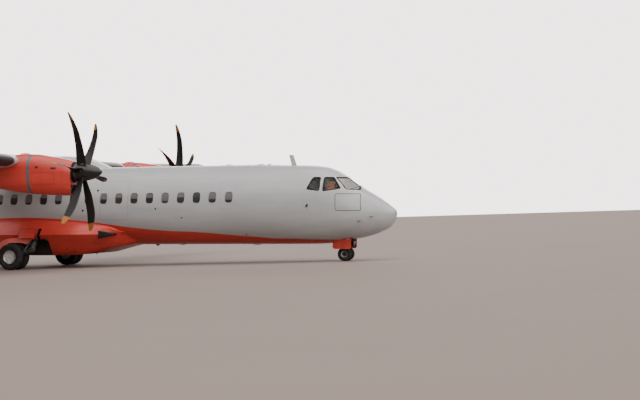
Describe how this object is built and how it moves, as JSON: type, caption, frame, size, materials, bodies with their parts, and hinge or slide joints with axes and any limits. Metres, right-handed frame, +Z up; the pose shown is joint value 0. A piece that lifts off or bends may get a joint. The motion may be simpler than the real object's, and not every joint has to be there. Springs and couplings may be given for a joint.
{
  "type": "turboprop airliner",
  "caption": "High-wing turboprop regional airliner with a T-tail, curved propeller blades, gear fairings low on the body, hinged control surfaces and opening doors.",
  "frame": {"origin": "on the ground, under the middle of the outline", "axes": "+X forward to the nose, +Y to port, +Z up"},
  "size_m": [27.1515, 27.05, 7.6559],
  "materials": {
    "grey_paint": "satin",
    "grey_composite": "satin",
    "wing_paint": "satin",
    "wing_composite": "satin",
    "tail_composite": "satin",
    "red_composite": "gloss",
    "charcoal_composite": "satin",
    "dark_plastic": "matte",
    "pane_glass": "gloss",
    "seat_cloth": "matte",
    "engine_metal": "satin",
    "exhaust_metal": "satin",
    "gear_steel": "satin",
    "tyre": "matte"
  },
  "bodies": {
    "airframe": {"radome": "grey_composite", "fuselage_nose": "grey_paint", "fuselage_forward": "grey_paint", "fuselage_center": "grey_paint", "fuselage_rear": "grey_composite", "tail_cone": "grey_composite", "windscreen": "pane_glass", "service_door": "grey_paint", "instrument_panel": "dark_plastic", "pilot_seat_left": "seat_cloth", "pilot_seat_right": "seat_cloth", "wing_root_fairing": "grey_composite", "belly_fairing": "red_composite", "gear_fairing_left": "red_composite", "gear_fairing_right": "red_composite", "wing_center": "wing_paint", "wing_outer_left": "wing_composite", "wing_outer_right": "wing_composite", "fin": "tail_composite", "fin_cap": "tail_composite", "tailplane": "tail_composite", "nacelle_cowl_left": "red_composite", "nacelle_cowl_right": "red_composite", "nacelle_aft_left": "red_composite", "nacelle_aft_right": "red_composite", "engine_left": "engine_metal", "engine_right": "engine_metal", "exhaust_left": "exhaust_metal", "exhaust_right": "exhaust_metal", "nose_gear_door_left": "red_composite", "nose_gear_door_right": "red_composite", "nose_gear_strut": "gear_steel", "taxi_lights": "dark_plastic", "main_gear_leg_left": "gear_steel", "main_gear_leg_right": "gear_steel"},
    "cargo_door": {"cargo_door": "grey_paint"},
    "passenger_door": {"passenger_door": "grey_paint"},
    "flap_inboard_left": {"flap_inboard_left": "wing_composite"},
    "flap_inboard_right": {"flap_inboard_right": "wing_composite"},
    "flap_outboard_left": {"flap_outboard_left": "wing_composite"},
    "flap_outboard_right": {"flap_outboard_right": "wing_composite"},
    "aileron_left": {"aileron_left": "wing_composite"},
    "aileron_right": {"aileron_right": "wing_composite"},
    "elevator_left": {"elevator_left": "tail_composite"},
    "elevator_right": {"elevator_right": "tail_composite"},
    "rudder": {"rudder": "tail_composite"},
    "propeller_left": {"propeller_left": "charcoal_composite"},
    "propeller_right": {"propeller_right": "charcoal_composite"},
    "nose_steering": {"nose_gear_fork": "gear_steel"},
    "nose_wheels": {"nose_wheels": "tyre"},
    "main_wheels_left": {"main_wheels_left": "tyre"},
    "main_wheels_right": {"main_wheels_right": "tyre"}
  },
  "joints": [
    {"name": "propeller_left_spin", "type": "hinge", "parent": "airframe", "child": "propeller_left", "pos_m": [4.60614, 4.05, 3.03452], "axis": [0.9998, 0, -0.0216], "continuous": true},
    {"name": "propeller_right_spin", "type": "hinge", "parent": "airframe", "child": "propeller_right", "pos_m": [4.60614, -4.05, 3.03452], "axis": [0.9998, 0, -0.0216], "continuous": true},
    {"name": "main_wheels_left_roll", "type": "hinge", "parent": "airframe", "child": "main_wheels_left", "pos_m": [1.09, 2.05, 0.432], "axis": [0, 1, 0], "continuous": true},
    {"name": "main_wheels_right_roll", "type": "hinge", "parent": "airframe", "child": "main_wheels_right", "pos_m": [1.09, -2.05, 0.432], "axis": [0, 1, 0], "continuous": true},
    {"name": "nose_wheel_steering", "type": "hinge", "parent": "airframe", "child": "nose_steering", "pos_m": [11.86, 0, 0.5], "axis": [0, 0, 1], "range_deg": [-60, 60]},
    {"name": "nose_wheels_roll", "type": "hinge", "parent": "nose_steering", "child": "nose_wheels", "pos_m": [11.86, 0, 0.225], "axis": [0, 1, 0], "continuous": true},
    {"name": "cargo_door_hinge", "type": "hinge", "parent": "airframe", "child": "cargo_door", "pos_m": [9.66802, 1.217, 2.48885], "axis": [0.9994, -0.0282, -0.0216], "range_deg": [0, 115]},
    {"name": "passenger_door_hinge", "type": "hinge", "parent": "airframe", "child": "passenger_door", "pos_m": [-5.89242, 1.14, 1.36632], "axis": [-0.9998, 0, 0.0216], "range_deg": [0, 124]},
    {"name": "flap_inboard_left_hinge", "type": "hinge", "parent": "airframe", "child": "flap_inboard_left", "pos_m": [0.80839, 2.4, 3.19779], "axis": [0, -1, 0], "range_deg": [0, 30]},
    {"name": "flap_inboard_right_hinge", "type": "hinge", "parent": "airframe", "child": "flap_inboard_right", "pos_m": [0.80839, -2.4, 3.19779], "axis": [0, -1, 0], "range_deg": [0, 30]},
    {"name": "flap_outboard_left_hinge", "type": "hinge", "parent": "airframe", "child": "flap_outboard_left", "pos_m": [0.84904, 6.76, 3.29353], "axis": [-0.0188, -0.9988, -0.0443], "range_deg": [0, 30]},
    {"name": "flap_outboard_right_hinge", "type": "hinge", "parent": "airframe", "child": "flap_outboard_right", "pos_m": [0.84904, -6.76, 3.29353], "axis": [0.0188, -0.9988, 0.0443], "range_deg": [0, 30]},
    {"name": "aileron_left_hinge", "type": "hinge", "parent": "airframe", "child": "aileron_left", "pos_m": [0.89582, 10.94, 3.73663], "axis": [-0.021, -0.9988, -0.0444], "range_deg": [-14, 14]},
    {"name": "aileron_right_hinge", "type": "hinge", "parent": "airframe", "child": "aileron_right", "pos_m": [0.89582, -10.94, 3.73663], "axis": [0.021, -0.9988, 0.0444], "range_deg": [-14, 14]},
    {"name": "elevator_left_hinge", "type": "hinge", "parent": "airframe", "child": "elevator_left", "pos_m": [-12.94732, 1.895, 6.97531], "axis": [0.1079, -0.9942, -0.0023], "range_deg": [-23, 13]},
    {"name": "elevator_right_hinge", "type": "hinge", "parent": "airframe", "child": "elevator_right", "pos_m": [-12.94732, -1.895, 6.97531], "axis": [-0.1079, -0.9942, 0.0023], "range_deg": [-23, 13]},
    {"name": "rudder_hinge", "type": "hinge", "parent": "airframe", "child": "rudder", "pos_m": [-11.28423, 0, 5.26892], "axis": [-0.2246, 0, 0.9745], "range_deg": [-27, 27]}
  ],
  "couplings": [
    {"joint": "flap_inboard_right_hinge", "follows": "flap_inboard_left_hinge", "ratio": 1},
    {"joint": "flap_outboard_left_hinge", "follows": "flap_inboard_left_hinge", "ratio": 1},
    {"joint": "flap_outboard_right_hinge", "follows": "flap_inboard_left_hinge", "ratio": 1},
    {"joint": "aileron_right_hinge", "follows": "aileron_left_hinge", "ratio": -1},
    {"joint": "elevator_right_hinge", "follows": "elevator_left_hinge", "ratio": 1}
  ]
}
